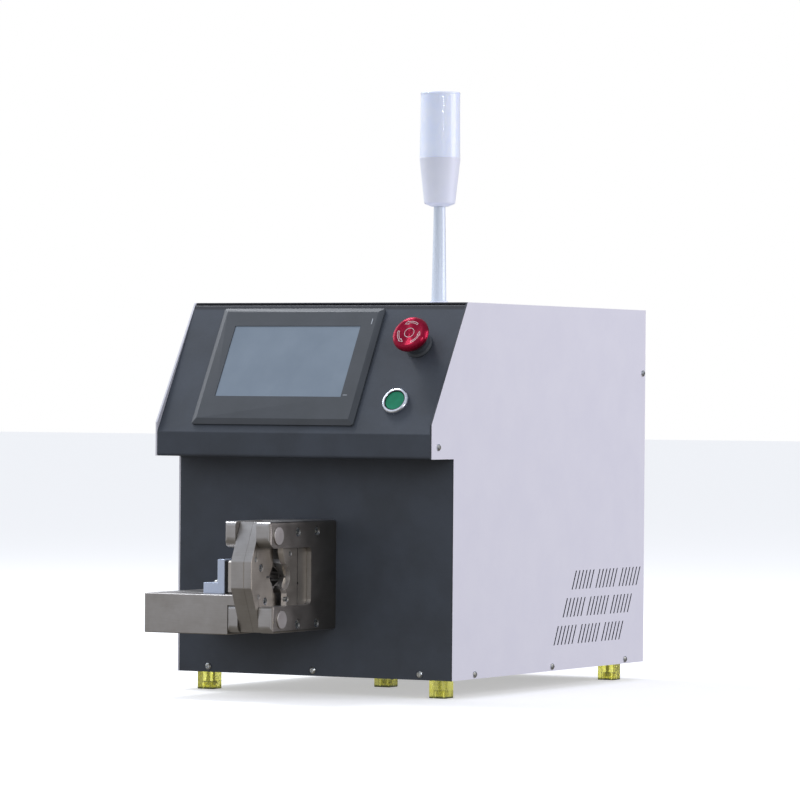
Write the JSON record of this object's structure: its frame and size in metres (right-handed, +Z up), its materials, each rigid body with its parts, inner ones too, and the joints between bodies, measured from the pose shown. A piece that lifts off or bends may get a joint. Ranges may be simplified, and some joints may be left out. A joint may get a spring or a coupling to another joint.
{
  "type": "terminal crimping machine",
  "caption": "Bench-top crimping machine: sheet case with sloped touch panel, stop and start buttons, signal lamp, and a servo-driven hexagonal crimp head.",
  "frame": {"origin": "middle of the floor area that the whole machine covers, on the surface that the feet stand on", "axes": "+X to the right as the operator sees the front, +Y from the front to the back, +Z up"},
  "size_m": [0.3444, 0.6316, 0.6671],
  "materials": {
    "light_paint": "fine-texture powder coat",
    "dark_paint": "fine-texture powder coat",
    "zinc_sheet": "zinc-plated sheet",
    "zinc_screw": "zinc-plated",
    "clear_yellow": "translucent polyurethane",
    "bezel_plastic": "fine moulded grain",
    "display": "satin touch film",
    "black_plastic": "moulded",
    "red_plastic": "gloss",
    "green_plastic": "gloss, translucent",
    "bright_ring": "bright chrome",
    "blue_plastic": "moulded",
    "lamp_white": "moulded",
    "lamp_frost": "frosted",
    "pole_alloy": "satin anodised",
    "head_steel": "ground, satin nickel plated",
    "die_steel": "hardened and ground",
    "pin_steel": "ground",
    "stop_alloy": "clear anodised",
    "pad_rubber": "matt",
    "drive_alloy": "machined",
    "motor_paint": "black anodised",
    "electronics": "moulded",
    "supply_case": "perforated case",
    "fan_plastic": "moulded"
  },
  "bodies": {
    "root": {"base_tray": "zinc_sheet", "front_panel": "dark_paint", "left_side_panel": "light_paint", "right_side_panel": "light_paint", "top_cover": "light_paint", "rear_panel": "light_paint", "panel_screws": "zinc_screw", "feet": "clear_yellow", "foot_screws": "zinc_screw", "hmi_housing": "bezel_plastic", "hmi_screen": "display", "stop_collar": "bezel_plastic", "start_ring": "bright_ring", "contact_blocks": "blue_plastic", "lamp_foot": "lamp_white", "lamp_pole": "pole_alloy", "lamp_base": "lamp_white", "lamp_lens": "lamp_frost", "yoke": "head_steel", "gate_body": "head_steel", "gate_cheek": "head_steel", "head_screws": "zinc_screw", "gate_pins": "pin_steel", "front_nose_die": "die_steel", "rest_block": "head_steel", "head_bracket": "drive_alloy", "guide_rods": "pin_steel", "bearing_block": "drive_alloy", "servo_motor": "motor_paint", "motor_mount": "drive_alloy", "servo_drive": "electronics", "power_supply": "supply_case", "mains_inlet": "black_plastic", "pedal_socket": "zinc_screw", "fan_frame": "fan_plastic", "fan_guard": "zinc_screw"},
    "ram": {"die_holder": "head_steel", "ram_cheeks": "head_steel", "ram_screws": "zinc_screw", "ram_plate": "head_steel", "ram_rod": "pin_steel", "rear_nose_die": "die_steel", "nut_carriage": "drive_alloy", "ball_nut": "pin_steel"},
    "upper_front_jaw": {"upper_front_jaw": "die_steel"},
    "lower_front_jaw": {"lower_front_jaw": "die_steel"},
    "upper_rear_jaw": {"upper_rear_jaw": "die_steel"},
    "lower_rear_jaw": {"lower_rear_jaw": "die_steel"},
    "spindle": {"ball_screw": "pin_steel", "shaft_coupling": "drive_alloy", "motor_shaft": "pin_steel"},
    "stop_plunger": {"stop_plunger": "red_plastic"},
    "stop_mushroom": {"stop_mushroom": "red_plastic"},
    "start_button": {"start_button": "green_plastic"},
    "wire_stop": {"stop_bracket": "stop_alloy", "stop_pad": "pad_rubber", "stop_plate": "pin_steel", "stop_screw": "zinc_screw"},
    "power_rocker": {"power_rocker": "red_plastic"},
    "fan_rotor": {"fan_rotor": "fan_plastic"}
  },
  "joints": [
    {"name": "spindle_turn", "type": "hinge", "parent": "root", "child": "spindle", "pos_m": [0, 0.0148, 0.1305], "axis": [0, 1, 0], "range_deg": [0, 648]},
    {"name": "ram_slide", "type": "slide", "parent": "root", "child": "ram", "axis": [0, -1, 0], "range_m": [0, 0.009]},
    {"name": "upper_front_jaw_slide", "type": "slide", "parent": "root", "child": "upper_front_jaw", "axis": [0, -0.5, -0.866], "range_m": [0, 0.0045]},
    {"name": "lower_front_jaw_slide", "type": "slide", "parent": "root", "child": "lower_front_jaw", "axis": [0, -0.5, 0.866], "range_m": [0, 0.0045]},
    {"name": "upper_rear_jaw_slide", "type": "slide", "parent": "ram", "child": "upper_rear_jaw", "axis": [0, 0.5, -0.866], "range_m": [0, 0.0045]},
    {"name": "lower_rear_jaw_slide", "type": "slide", "parent": "ram", "child": "lower_rear_jaw", "axis": [0, 0.5, 0.866], "range_m": [0, 0.0045]},
    {"name": "stop_press", "type": "slide", "parent": "root", "child": "stop_plunger", "axis": [0, 0.8693, -0.4943], "range_m": [0, 0.005]},
    {"name": "stop_twist", "type": "hinge", "parent": "stop_plunger", "child": "stop_mushroom", "pos_m": [0.1259, -0.17726, 0.38733], "axis": [0, -0.8693, 0.4943], "range_deg": [-40, 0], "stiffness_Nm_per_rad": 0.02, "springref_deg": 11.46},
    {"name": "start_press", "type": "slide", "parent": "root", "child": "start_button", "axis": [0, 0.8693, -0.4943], "range_m": [0, 0.003], "stiffness_N_per_m": 500, "springref_m": -0.002},
    {"name": "wire_stop_slide", "type": "slide", "parent": "root", "child": "wire_stop", "axis": [1, 0, 0], "range_m": [-0.05, 0.01]},
    {"name": "rocker_press", "type": "hinge", "parent": "root", "child": "power_rocker", "pos_m": [0.1, 0.3088, 0.115], "axis": [1, 0, 0], "range_deg": [0, 18]},
    {"name": "fan_spin", "type": "hinge", "parent": "root", "child": "fan_rotor", "pos_m": [-0.09, 0.2968, 0.32], "axis": [0, 1, 0], "continuous": true}
  ],
  "couplings": [
    {"joint": "spindle_turn", "follows": "ram_slide", "rad_per_m": 1256.6},
    {"joint": "upper_front_jaw_slide", "follows": "ram_slide", "ratio": 0.5},
    {"joint": "lower_front_jaw_slide", "follows": "ram_slide", "ratio": 0.5},
    {"joint": "upper_rear_jaw_slide", "follows": "ram_slide", "ratio": 0.5},
    {"joint": "lower_rear_jaw_slide", "follows": "ram_slide", "ratio": 0.5}
  ]
}
